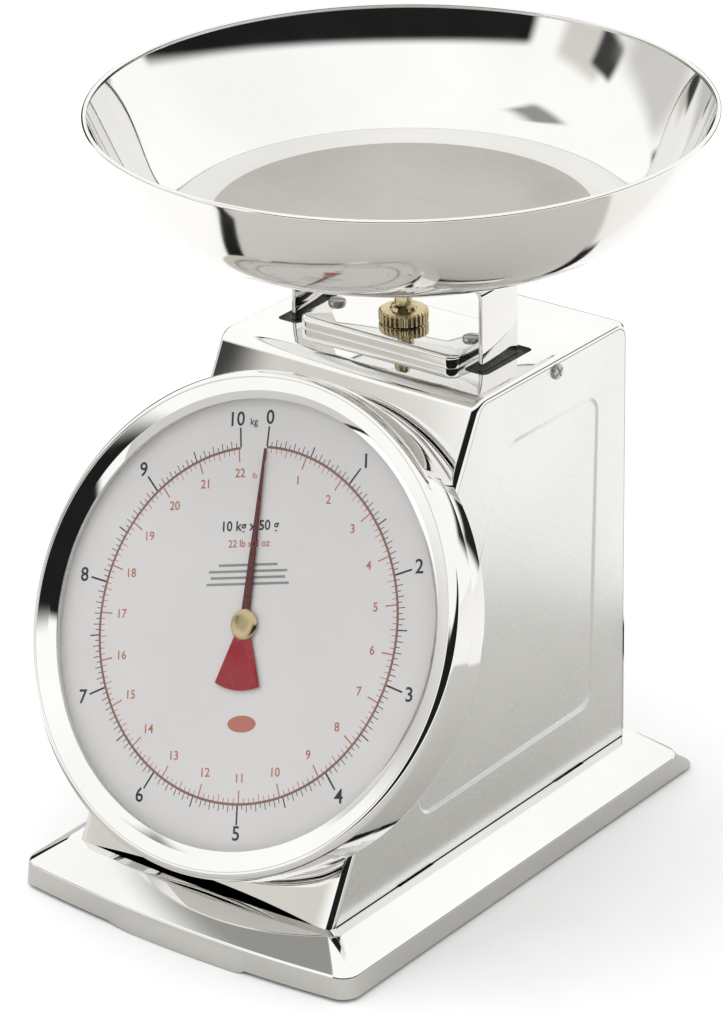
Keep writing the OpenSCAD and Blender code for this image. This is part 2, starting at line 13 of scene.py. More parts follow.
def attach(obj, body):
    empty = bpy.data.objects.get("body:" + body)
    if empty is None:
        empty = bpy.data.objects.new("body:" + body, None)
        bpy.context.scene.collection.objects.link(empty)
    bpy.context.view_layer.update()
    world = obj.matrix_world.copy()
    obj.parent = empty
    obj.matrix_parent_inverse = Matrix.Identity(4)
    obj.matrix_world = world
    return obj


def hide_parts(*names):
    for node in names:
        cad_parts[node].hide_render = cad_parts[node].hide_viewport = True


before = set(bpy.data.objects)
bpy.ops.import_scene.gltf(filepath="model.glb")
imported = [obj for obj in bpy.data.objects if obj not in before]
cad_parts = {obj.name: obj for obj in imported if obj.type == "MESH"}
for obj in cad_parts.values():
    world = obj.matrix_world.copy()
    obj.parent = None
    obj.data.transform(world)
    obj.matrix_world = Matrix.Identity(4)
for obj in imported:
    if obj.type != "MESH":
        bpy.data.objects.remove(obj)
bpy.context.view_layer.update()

MM = 0.001

# ------------------------------------------------------------ sizes, in mm
MID_Y = 129.5            # the case's bottom front edge lies this far in front
MAST_Y = 148.5 - MID_Y   # posts, zero nut and bowl
LEAN = math.radians(28)
CASE_TOP = 225.5
CASE_DEPTH = 220.0
LEDGE_Z = 21.7
HALF_W = 69.0
EDGE_R = 3.2             # rounding along the cover's side edges
SIDE_GAP = 0.5           # dark joint line under the side sheets
SLIT = 3.0               # height of the open arch under the case front
SLIT_HALF = 60
SHEET = 1.2
TAB_X = 68.4             # slots in the ledge for the side sheets' tabs
TAB_SPANS = ((47, 72), (163, 185))
POST_X = 50
STEM_HOLE_R = 3.6
SIDE_SCREW_Y = MAST_Y + 16
SIDE_SCREW_Z = CASE_TOP - 6.5
BRIDGE_SCREW_X = 36
DIAL_UP = 113.0
DIAL_Y = DIAL_UP * math.sin(LEAN) - MID_Y
DIAL_Z = LEDGE_Z + DIAL_UP * math.cos(LEAN)
APRON_HALF = 38.0        # the upright strip under the front skirt
TOE = 11.0               # the base's back skirt runs out to a toe
BUSH_HOLE_R = 6.2        # the spindle's bush passes the case front and the drum
CARD_Z = 21.0            # printed face, out from the case front
WINDOW_R = 96.0
BEZEL_R = 108.2
BEZEL_OUT = 28.2
GLASS_Z = 23.9
ART_TURN = -16.0         # the print's turn, clockwise, degrees
ZERO_AT = -10.6          # the zero mark, clockwise from straight up the case
DEG_PER_KG = 35.0
SWEEP = 10 * DEG_PER_KG  # from the zero mark to 10 kg
KG_PER_LB = 0.45359237
SATIN_R = 82.0           # satin disc inside the bowl

FACE = (Matrix.Translation((0, DIAL_Y, DIAL_Z))
        @ Matrix.Rotation(math.pi / 2 - LEAN, 4, "X"))
MAST = Matrix.Translation((0, MAST_Y, 0))


# ------------------------------------------------------------ materials
def new_material(name):
    mat = bpy.data.materials.new(name)
    mat.use_nodes = True
    nodes, links = mat.node_tree.nodes, mat.node_tree.links
    return mat, nodes, links, nodes["Principled BSDF"]


def add(nodes, kind, **values):
    node = nodes.new(kind)
    for key, value in values.items():
        setattr(node, key, value)
    return node


def mapped_noise(nodes, links, stretch, scale, detail=3.0):
    """Noise in object space, stretched along the axes."""
    place = add(nodes, "ShaderNodeTexCoord")
    mapping = add(nodes, "ShaderNodeMapping")
    mapping.inputs["Scale"].default_value = stretch
    noise = add(nodes, "ShaderNodeTexNoise")
    noise.inputs["Scale"].default_value = scale
    noise.inputs["Detail"].default_value = detail
    links.new(place.outputs["Object"], mapping.inputs["Vector"])
    links.new(mapping.outputs["Vector"], noise.inputs["Vector"])
    return noise.outputs["Fac"]


def ranged(nodes, links, source, low, high):
    node = add(nodes, "ShaderNodeMapRange")
    node.inputs["From Min"].default_value = 0.3
    node.inputs["From Max"].default_value = 0.7
    node.inputs["To Min"].default_value = low
    node.inputs["To Max"].default_value = high
    links.new(source, node.inputs["Value"])
    return node.outputs["Result"]


def two_tone(nodes, links, source, dark, light):
    ramp = add(nodes, "ShaderNodeValToRGB")
    ramp.color_ramp.elements[0].position = 0.3
    ramp.color_ramp.elements[0].color = (*dark, 1)
    ramp.color_ramp.elements[1].position = 0.7
    ramp.color_ramp.elements[1].color = (*light, 1)
    links.new(source, ramp.inputs["Fac"])
    return ramp.outputs["Color"]


def add_bump(nodes, links, bsdf, source, strength, distance):
    bump = add(nodes, "ShaderNodeBump")
    bump.inputs["Strength"].default_value = strength
    bump.inputs["Distance"].default_value = distance
    links.new(source, bump.inputs["Height"])
    links.new(bump.outputs["Normal"], bsdf.inputs["Normal"])


def metal(name, dark, light, rough, stretch=(1, 1, 1), grain=60.0, bump=0.0):
    """Metal whose tone and roughness wander a little, with an optional grain."""
    mat, nodes, links, bsdf = new_material(name)
    bsdf.inputs["Metallic"].default_value = 1.0
    cloud = mapped_noise(nodes, links, (1, 1, 1), 14.0)
    links.new(two_tone(nodes, links, cloud, dark, light), bsdf.inputs["Base Color"])
    fine = mapped_noise(nodes, links, stretch, grain, 5.0)
    links.new(ranged(nodes, links, fine, rough[0], rough[1]), bsdf.inputs["Roughness"])
    if bump:
        add_bump(nodes, links, bsdf, fine, bump, 0.00005)
    return mat


def coated(name, dark, light, rough, bump=0.1, coat=0.0):
    """Paint, plastic or rubber with a fine surface."""
    mat, nodes, links, bsdf = new_material(name)
    grain = mapped_noise(nodes, links, (1, 1, 1), 300.0)
    cloud = mapped_noise(nodes, links, (1, 1, 1), 25.0)
    links.new(two_tone(nodes, links, cloud, dark, light), bsdf.inputs["Base Color"])
    links.new(ranged(nodes, links, grain, rough[0], rough[1]), bsdf.inputs["Roughness"])
    bsdf.inputs["Coat Weight"].default_value = coat
    add_bump(nodes, links, bsdf, grain, bump, 0.00003)
    return mat


POLISHED = metal("polished_steel", (0.80, 0.795, 0.78), (0.86, 0.855, 0.84), (0.02, 0.05),
                 bump=0.005)
SATIN = metal("satin_steel", (0.79, 0.79, 0.775), (0.84, 0.84, 0.825), (0.27, 0.29),
              stretch=(1, 1, 8), grain=180.0, bump=0.002)
SPUN = metal("spun_steel", (0.50, 0.485, 0.445), (0.56, 0.545, 0.505), (0.44, 0.52),
             grain=160.0)
BOWL_OUT = metal("bowl_steel", (0.78, 0.765, 0.735), (0.83, 0.82, 0.79), (0.05, 0.09),
                 grain=120.0)
PLATED = metal("plated_steel", (0.42, 0.42, 0.41), (0.58, 0.58, 0.56), (0.25, 0.45), bump=0.05)
SPRING = metal("spring_steel", (0.30, 0.30, 0.31), (0.42, 0.42, 0.42), (0.25, 0.4), bump=0.05)
BRASS = metal("turned_brass", (0.50, 0.40, 0.22), (0.66, 0.55, 0.33), (0.12, 0.25),
              grain=200.0, bump=0.05)
BLACK = coated("black_plastic", (0.012, 0.012, 0.012), (0.03, 0.03, 0.03), (0.45, 0.6))
RUBBER = coated("rubber", (0.015, 0.015, 0.015), (0.04, 0.04, 0.04), (0.7, 0.9), bump=0.3)
CARD = coated("dial_enamel", (0.655, 0.64, 0.63), (0.685, 0.67, 0.66), (0.35, 0.45), bump=0.004)
INK_BLACK = coated("ink_black", (0.02, 0.025, 0.025), (0.04, 0.045, 0.045), (0.5, 0.6))
INK_RED = coated("ink_red", (0.42, 0.15, 0.11), (0.48, 0.18, 0.14), (0.5, 0.6))
INK_RING = coated("ink_ring", (0.20, 0.11, 0.095), (0.27, 0.15, 0.13), (0.5, 0.6))
INK_GREY = coated("ink_grey", (0.22, 0.23, 0.22), (0.28, 0.29, 0.28), (0.5, 0.6))
NEEDLE = coated("needle_red", (0.07, 0.006, 0.008), (0.11, 0.008, 0.010), (0.25, 0.35), coat=0.2)
TAIL = coated("tail_red", (0.24, 0.006, 0.012), (0.32, 0.010, 0.018), (0.25, 0.35), coat=0.2)


def glass_material():
    """Thin clear pane: what is behind it shows, with a faint reflection."""
    mat, nodes, links, bsdf = new_material("clear_glass")
    smear = mapped_noise(nodes, links, (1, 1, 1), 18.0)
    links.new(ranged(nodes, links, smear, 0.01, 0.04), bsdf.inputs["Roughness"])
    links.new(two_tone(nodes, links, smear, (0.010, 0.011, 0.011), (0.02, 0.02, 0.02)),
              bsdf.inputs["Base Color"])
    bsdf.inputs["IOR"].default_value = 1.45
    bsdf.inputs["Alpha"].default_value = 0.06
    return mat


GLASS = glass_material()


# ------------------------------------------------------------ mesh helpers
def link_mesh(name, mesh):
    obj = bpy.data.objects.new(name, mesh)
    bpy.context.scene.collection.objects.link(obj)
    return obj


def smooth(mesh, angle=32):
    mesh.shade_smooth()
    mesh.set_sharp_from_angle(angle=math.radians(angle))


def solid(name, verts, faces, material, place=None, angle=32):
    """A mesh from points in mm, with its faces turned outwards."""
    place = place or Matrix.Identity(4)
    mesh = bpy.data.meshes.new(name)
    mesh.from_pydata([(place @ Vector(v)) * MM for v in verts], [], faces)
    work = bmesh.new()
    work.from_mesh(mesh)
    bmesh.ops.recalc_face_normals(work, faces=work.faces)
    work.to_mesh(mesh)
    work.free()
    mesh.materials.append(material)
    smooth(mesh, angle)
    return link_mesh(name, mesh)


def loft(rings, closed_rings=True, wrap=True, caps=False):
    """Points and faces through a list of rings of equal length.

    wrap joins the last ring to the first, closed_rings joins each ring's ends.
    """
    n = len(rings[0])
    verts = [p for ring in rings for p in ring]
    faces = []
    for i in range(len(rings) if wrap else len(rings) - 1):
        j = (i + 1) % len(rings)
        for k in range(n if closed_rings else n - 1):
            m = (k + 1) % n
            faces.append((i * n + k, i * n + m, j * n + m, j * n + k))
    if caps:
        faces.append(tuple(range(n)))
        faces.append(tuple((len(rings) - 1) * n + k for k in reversed(range(n))))
    return verts, faces


def lathe(name, profile, material, place, segments=192, angle=32, wave=None):
    """Turns a closed (radius, height) profile. wave(angle, k) shifts a radius."""
    rings = []
    for s in range(segments):
        a = 2 * math.pi * s / segments
        ring = []
        for k, (r, z) in enumerate(profile):
            rr = r + (wave(a, k) if wave else 0)
            ring.append((rr * math.cos(a), rr * math.sin(a), z))
        rings.append(ring)
    verts, faces = loft(rings)
    obj = solid(name, verts, faces, material, place, angle)
    work = bmesh.new()
    work.from_mesh(obj.data)
    bmesh.ops.remove_doubles(work, verts=work.verts, dist=1e-7)
    bmesh.ops.recalc_face_normals(work, faces=work.faces)
    work.to_mesh(obj.data)
    work.free()
    return obj


def fillet(points, radii, steps=6, closed=True):
    """Rounds the corners of a 2D line. radii is one number or one per point."""
    n = len(points)
    if not isinstance(radii, (list, tuple)):
        radii = [radii] * n
    out = []
    for i, p in enumerate(points):
        p = Vector(p)
        r = radii[i]
        if r == 0 or (not closed and i in (0, n - 1)):
            out.append(tuple(p))
            continue
        u = (Vector(points[i - 1]) - p).normalized()
        w = (Vector(points[(i + 1) % n]) - p).normalized()
        half = math.acos(max(-1, min(1, u.dot(w)))) / 2
        c = p + (u + w).normalized() * r / math.sin(half)
        s = p + u * r / math.tan(half) - c
        e = p + w * r / math.tan(half) - c
        a0 = math.atan2(s.y, s.x)
        turn = (math.atan2(e.y, e.x) - a0 + 3 * math.pi) % (2 * math.pi) - math.pi
        for k in range(steps + 1):
            a = a0 + turn * k / steps
            out.append((c.x + r * math.cos(a), c.y + r * math.sin(a)))
    return out


def baked(obj):
    """Applies the object's modifiers."""
    graph = bpy.context.evaluated_depsgraph_get()
    mesh = bpy.data.meshes.new_from_object(obj.evaluated_get(graph))
    old = obj.data
    obj.modifiers.clear()
    obj.data = mesh
    bpy.data.meshes.remove(old)
    return obj


def cut(obj, cutters, angle=32):
    for cutter in cutters:
        mod = obj.modifiers.new("cut", "BOOLEAN")
        mod.operation = "DIFFERENCE"
        mod.solver = "EXACT"
        mod.object = cutter
    baked(obj)
    for cutter in cutters:
        bpy.data.objects.remove(cutter)
    smooth(obj.data, angle)
    return obj


def bar(name, outline, low, high, material, place=None, bevel=0.0):
    """An outline in x-y, raised from low to high, with small rounded edges."""
    n = len(outline)
    verts = [(x, y, z) for z in (low, high) for x, y in outline]
    faces = [tuple(reversed(range(n))), tuple(range(n, 2 * n))]
    faces += [(k, (k + 1) % n, n + (k + 1) % n, n + k) for k in range(n)]
    obj = solid(name, verts, faces, material, place)
    if bevel:
        mod = obj.modifiers.new("edge", "BEVEL")
        mod.width = bevel * MM
        mod.segments = 2
        mod.limit_method = "ANGLE"
        mod.angle_limit = math.radians(40)
        baked(obj)
        smooth(obj.data)
    return obj


def at_x(points, x):
    """A line in y-z at one x, with y counted from the case's bottom front edge."""
    return [(x, y - MID_Y, z) for y, z in points]


def rectangle(x0, x1, y0, y1, r=0.0, steps=6):
    return fillet([(x0, y0), (x1, y0), (x1, y1), (x0, y1)], r, steps) if r else [
        (x0, y0), (x1, y0), (x1, y1), (x0, y1)]


def circle(r, n=48, x=0.0, y=0.0):
    return [(x + r * math.cos(2 * math.pi * k / n), y + r * math.sin(2 * math.pi * k / n))
            for k in range(n)]


def join(name, parts):
    """Joins objects into one piece, in which each face keeps its material."""
    work = bmesh.new()
    materials = []
    for part in parts:
        start = len(work.faces)
        work.from_mesh(part.data)
        work.faces.ensure_lookup_table()
        for face in work.faces[start:]:
            mat = part.data.materials[face.material_index]
            if mat not in materials:
                materials.append(mat)
            face.material_index = materials.index(mat)
    mesh = bpy.data.meshes.new(name)
    work.to_mesh(mesh)
    work.free()
    for mat in materials:
        mesh.materials.append(mat)
    for part in parts:
        bpy.data.objects.remove(part)
    return link_mesh(name, mesh)


def settle(obj, body, slot, *nodes):
    """The piece rides on a body and stands for CAD nodes; the slot is not used."""
    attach(obj, body)
    if nodes:
        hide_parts(*nodes)
    return obj


# ------------------------------------------------------------ base tray
def tray_ring(half, z, n_arc=12, n_side=24):
    """The tray's outline where its side stands half out from the middle."""
    ledge, crease = 74.4, 89.3
    t = min(max((half - ledge) / (crease - ledge), 0), 1)
    beyond = half - ledge if half < ledge else max(half - crease, 0)
    toe = TOE * max(0.0, (11.6 - z) / 10.1) ** 1.5 if half > 85 else 0
    front = -3.7 + t * (-15.8 + 3.7) - beyond
    back = 224.0 + t * (236.3 - 224.0) + beyond + toe
    r = max(5 + t * 4 + (half - ledge if half < ledge else 0), 0.6)
    bow = 3 + 2 * t
    run = half - r
    points = []

    def arc(cx, cy, a0):
        for k in range(n_arc + 1):
            a = math.radians(a0 + 90 * k / n_arc)
            points.append((cx + r * math.cos(a), cy + r * math.sin(a), z))

    arc(-run, front + r, 180)
    for k in range(1, n_side):
        x = run * (2 * k / n_side - 1)
        points.append((x, front - bow * (1 - (x / run) ** 2), z))
    arc(run, front + r, 270)
    for k in range(1, n_side):
        points.append((half, front + r + (back - front - 2 * r) * k / n_side, z))
    arc(run, back - r, 0)
    for k in range(1, n_side):
        points.append((run * (1 - 2 * k / n_side), back, z))
    arc(-run, back - r, 90)
    for k in range(1, n_side):
        points.append((-half, back - r - (back - front - 2 * r) * k / n_side, z))
    return [(x, y - MID_Y, zz) for x, y, zz in points]


def make_apron():
    """Nearly upright strip under the front skirt, drawn back into it at both ends."""
    steps = 48
    rings = []
    for k in range(steps + 1):
        x = -APRON_HALF + 2 * APRON_HALF * k / steps
        out = min(1.0, (APRON_HALF + x) / 16.0, (APRON_HALF - x) / 3.0)
        out = math.sin(math.pi / 2 * max(out, 0.02))
        root = -16.0 - 5.0 * (1 - (x / 81) ** 2)
        front = root - 1.3 * out
        foot = 1.5 - 1.2 * out
        line = fillet([(root + 1.0, 10.5), (root + 0.2, 9.8), (front, 2.6), (front, foot),
                       (front + 1.2, foot), (root + 1.0, 3.6)], [0, 0.4, 1.6, 0.2, 0.3, 0], 5)
        rings.append(at_x(line, x))
    verts, faces = loft(rings, wrap=False, caps=True)
    return solid("base_apron", verts, faces, POLISHED, angle=40)


def make_base():
    outer = [(60, LEDGE_Z), (74.4, LEDGE_Z), (89.3, 11.6), (89.55, 8), (89.75, 5), (90, 1.5)]
    inner = [(88.8, 1.5), (88.55, 5), (88.35, 8), (88.1, 11.0), (73.9, LEDGE_Z - SHEET),
             (60, LEDGE_Z - SHEET)]
    section = fillet(outer + inner, [0, 1.6, 1.8, 0, 0, 0.4, 0.4, 0, 0, 1.2, 1.2, 0], 6)
    verts, faces = loft([tray_ring(h, z) for h, z in section])
    body = solid("base_body", verts, faces, POLISHED, angle=40)
    cut(body, [bar("tab_slot", rectangle(s * TAB_X - 1.5, s * TAB_X + 1.5, y0 - MID_Y,
                                         y1 - MID_Y), LEDGE_Z - 3, LEDGE_Z + 1, POLISHED)
               for s in (-1, 1) for y0, y1 in TAB_SPANS], 40)
    obj = join("base_shell", [body, make_apron()])
    smooth(obj.data, 40)
    settle(obj, "case", "polished_steel", "base_tray")


# ------------------------------------------------------------ case
def case_path(inset):
    """Side outline of the case as an open line, foot to foot."""
    slope = math.tan(LEAN)
    shift = inset / math.cos(LEAN)
    top = CASE_TOP - inset
    return fillet([
        (shift, LEDGE_Z),
        (shift + (top - LEDGE_Z) * slope, top),
        (CASE_DEPTH - inset, top),
        (CASE_DEPTH - inset, LEDGE_Z),
    ], 9.0 - inset, 10, closed=False)


def make_case():
    """Front, top and back in one sheet with rounded side edges, and its openings."""
    arc = [(EDGE_R * math.sin(a), EDGE_R * (1 - math.cos(a)))
           for a in (math.radians(90 * k / 6) for k in range(7))]
    side = HALF_W - EDGE_R
    outer = [(side + dx, inset) for dx, inset in arc]
    outer = [(-x, inset) for x, inset in reversed(outer)] + outer
    inner = [(x * (HALF_W - SHEET) / HALF_W, inset + (SHEET if abs(x) <= side else SHEET * 0.2))
             for x, inset in reversed(outer)]
    rings = [at_x(case_path(inset), x) for x, inset in outer + inner]
    verts, faces = loft(rings, closed_rings=False)
    n, m = len(rings[0]), len(rings)
    faces.append(tuple(i * n for i in range(m)))
    faces.append(tuple(i * n + n - 1 for i in reversed(range(m))))
    cover = solid("case_cover", verts, faces, POLISHED, angle=25)
    cutters = []
    for x in (-POST_X, POST_X):
        cutters.append(bar("slot", rectangle(x - 6, x + 6, MAST_Y - 18, MAST_Y + 18, 3),
                           CASE_TOP - 5, CASE_TOP + 5, POLISHED))
    cutters.append(bar("hole", circle(STEM_HOLE_R, 32, 0, MAST_Y), CASE_TOP - 5, CASE_TOP + 5,
                       POLISHED))
    cutters.append(bar("spindle_hole", circle(BUSH_HOLE_R, 48), -4, 3, POLISHED, FACE))
    arch = [(x, SLIT * (1 - (x / SLIT_HALF) ** 2))
            for x in range(-SLIT_HALF, SLIT_HALF + 1, 4)]
    cutters.append(bar("slit", [(-SLIT_HALF, -2)] + arch + [(SLIT_HALF, -2)], -5, 3, POLISHED,
                       Matrix.Translation((0, -MID_Y, LEDGE_Z))
                       @ Matrix.Rotation(math.pi / 2, 4, "X")))
    cut(cover, cutters, 25)
    settle(cover, "case", "polished_steel", "wrap_cover")


def make_side(sign, name, node):
    """Side sheet with a pressed, soft-edged panel."""
    edge = 3.45
    slope = math.tan(LEAN)
    shift = edge / math.cos(LEAN)
    top = CASE_TOP - edge
    outer = fillet([
        (CASE_DEPTH - edge, LEDGE_Z + SIDE_GAP),
        (CASE_DEPTH - edge, top),
        (shift + (top - LEDGE_Z) * slope, top),
        (shift, LEDGE_Z + SIDE_GAP),
    ], [0.3, 9 - edge, 9 - edge, 0.3], 8)
    mark = [(191.3, 49.0), (196.0, 197.1), (130.5, 197.5), (58.7, 47.4)]

    def mark_ring(grow):
        centre = Vector((150.0, 115.0))
        out = []
        for p in mark:
            v = Vector(p)
            out.append(tuple(v + (v - centre).normalized() * grow))
        return fillet(out, 8 + grow * 0.7, 8)

    rings = [at_x(outer, HALF_W)]
    width, depth, steps = 4.2, 0.8, 8
    for k in range(steps + 1):
        t = k / steps
        rings.append(at_x(mark_ring(width * (0.5 - t)),
                                HALF_W - depth * (0.5 - 0.5 * math.cos(math.pi * t))))
    n = len(outer)
    verts, faces = loft(rings, wrap=False)
    faces.append(tuple((len(rings) - 1) * n + k for k in range(n)))
    back = len(verts)
    verts += at_x(outer, HALF_W - SHEET)
    faces += [(k, (k + 1) % n, back + (k + 1) % n, back + k) for k in range(n)]
    faces.append(tuple(back + k for k in reversed(range(n))))
    verts = [(sign * x, y, z) for x, y, z in verts]
    obj = solid(name, verts, faces, SATIN, angle=50)
    hole = bar("hole", circle(2.4, 24), -5, 5, SATIN,
               Matrix.Translation((sign * HALF_W, SIDE_SCREW_Y, SIDE_SCREW_Z))
               @ Matrix.Rotation(math.pi / 2, 4, "Y"))
    cut(obj, [hole], 50)
    settle(obj, "case", "side_steel", node)


def screw_head(name, r, h, place, slots=1):
    profile = fillet([(0.01, -1.0), (r * 0.55, -1.0), (r * 0.55, 0), (r, 0), (r * 0.9, h * 0.75),
                      (0.01, h)], [0, 0, 0, 0.15, 0.5, 0], 4)
    head = lathe(name, profile, PLATED, place, 48)
    cutters = []
    for k in range(slots):
        turn = Matrix.Rotation(math.pi * (0.15 + k / 2), 4, "Z")
        cutters.append(bar("slot", rectangle(-r * 1.2, r * 1.2, -0.45, 0.45), h * 0.55, h + 1,
                           PLATED, place @ turn))
    return cut(head, cutters)


def make_screws():
    heads = [screw_head("side_head", 3.6, 1.8,
                        Matrix.Translation((s * HALF_W, SIDE_SCREW_Y, SIDE_SCREW_Z))
                        @ Matrix.Rotation(s * math.pi / 2, 4, "Y"), 2) for s in (-1, 1)]
    settle(join("side_screw_heads", heads), "case", "inner_steel", "side_screws")
    heads = [screw_head("bridge_head", 4, 2, Matrix.Translation((x, MAST_Y, CASE_TOP + 6)))
             for x in (-BRIDGE_SCREW_X, BRIDGE_SCREW_X)]
    settle(join("bridge_screw_heads", heads), "case", "inner_steel", "bridge_screws")


def make_bridge():
    """Raised plate on the case top, pressed with soft edges."""
    half_x, half_y, top, t = 42.0, 21.0, CASE_TOP + 6, 1.5
    section = fillet([(0, CASE_TOP), (0, top), (14, top), (14, top - t), (t, top - t),
                      (t, CASE_TOP)], [0.2, 1.8, 0, 0, 0.6, 0.2], 5)
    rings = []
    for inset, z in section:
        r = max(5 - inset, 0.4)
        rings.append([(x, y + MAST_Y, z) for x, y in
                      rectangle(-half_x + inset, half_x - inset, -half_y + inset,
                                half_y - inset, r, 8)])
    verts, faces = loft(rings)
    frame_part = solid("bridge_edge", verts, faces, POLISHED)
    plate = bar("bridge_plate", rectangle(-28.01, 28.01, -7.01, 7.01, 0.4, 8), top - t, top,
                POLISHED, MAST)
    plate = cut(plate, [bar("hole", circle(STEM_HOLE_R, 32), top - 5, top + 5, POLISHED,
                            MAST)])
    settle(join("bridge_shell", [frame_part, plate]), "case", "polished_steel",
           "suspension_bridge")


# ------------------------------------------------------------ drum and face
def make_drum():
    r, h = 106.0, 19.5
    profile = fillet([(BUSH_HOLE_R, 0), (r, 0), (r, h), (r - SHEET, h), (r - SHEET, SHEET),
                      (BUSH_HOLE_R, SHEET)], [0, 2.0, 0.3, 0.3, 1.0, 0], 5)
    settle(lathe("drum_shell", profile, POLISHED, FACE, 256), "case", "polished_steel",
           "dial_drum")


def make_bezel():
    """Rolled ring: round outer edge, then a bright dish and a steeper inner lip."""
    inner, top = BEZEL_R - 1.85, BEZEL_OUT
    outline = [
        (inner, 14.0), (BEZEL_R, 14.0), (BEZEL_R, top), (BEZEL_R - 3.6, top),
        (WINDOW_R + 3.2, top - 1.3), (WINDOW_R, GLASS_Z + 1.2), (WINDOW_R, GLASS_Z + 0.75),
        (WINDOW_R + 4, top - 2.4), (BEZEL_R - 3.4, top - 1.1), (inner, top - 2.2),
    ]
    profile = fillet(outline, [0.3, 0.6, 3.2, 0.5, 1.0, 0.2, 0.2, 0.5, 1.0, 0.5], 8)
    settle(lathe("bezel_shell", profile, POLISHED, FACE, 256, angle=45), "dial",
           "polished_steel", "bezel_ring")


def make_spacer():
    inner = WINDOW_R + 0.5
    profile = fillet([(inner, 21.02), (BEZEL_R - 2.1, 21.02), (BEZEL_R - 2.1, GLASS_Z - 0.02),
                      (inner, GLASS_Z - 0.02)], 0.3, 3)
    settle(lathe("spacer_ring", profile, SATIN, FACE, 256), "dial", "white_plastic",
           "glass_spacer")


def make_glass():
    profile = fillet([(0.01, GLASS_Z), (BEZEL_R - 2.1, GLASS_Z), (BEZEL_R - 2.1, GLASS_Z + 0.7),
                      (0.01, GLASS_Z + 0.7)], [0, 0.2, 0.2, 0], 3)
    settle(lathe("glass_pane", profile, GLASS, FACE, 192), "dial", "glass", "dial_glass")


# ------------------------------------------------------------ dial print
INK = 0.035              # thickness of the print
INK_LOW = CARD_Z + 0.003
KG_TICKS = 76.2          # radii on the card
LB_TICKS = 75.4


def on_dial(clockwise, r):
    a = math.radians(90 - clockwise)
    return r * math.cos(a), r * math.sin(a)


def tick(verts, faces, clockwise, r0, r1, width):
    a = math.radians(90 - clockwise)
    u = Vector((math.cos(a), math.sin(a)))
    w = Vector((-u.y, u.x)) * width / 2
    corners = [u * r0 - w, u * r1 - w, u * r1 + w, u * r0 + w]
    start = len(verts)
    for z in (INK_LOW, CARD_Z + INK):
        verts += [(c.x, c.y, z) for c in corners]
    s = start
    faces += [(s + 3, s + 2, s + 1, s), (s + 4, s + 5, s + 6, s + 7)]
    faces += [(s + k, s + (k + 1) % 4, s + 4 + (k + 1) % 4, s + 4 + k) for k in range(4)]


def lettering(text, size, clockwise, r, turn, material, bold=0.0):
    """Generic numerals and unit letters, centred at a place on the dial."""
    curve = bpy.data.curves.new("print", "FONT")
    curve.body = text
    curve.size = size
    curve.align_x = "CENTER"
    curve.align_y = "CENTER"
    curve.extrude = INK / 2
    curve.offset = bold
    curve.resolution_u = 3
    obj = bpy.data.objects.new("print", curve)
    bpy.context.scene.collection.objects.link(obj)
    graph = bpy.context.evaluated_depsgraph_get()
    mesh = bpy.data.meshes.new_from_object(obj.evaluated_get(graph))
    bpy.data.objects.remove(obj)
    x, y = on_dial(clockwise, r)
    place = (Matrix.Scale(MM, 4) @ FACE @ Matrix.Translation((x, y, INK_LOW + INK / 2))
             @ Matrix.Rotation(math.radians(-turn), 4, "Z"))
    mesh.transform(place)
    mesh.materials.clear()
    mesh.materials.append(material)
    return link_mesh("print", mesh)


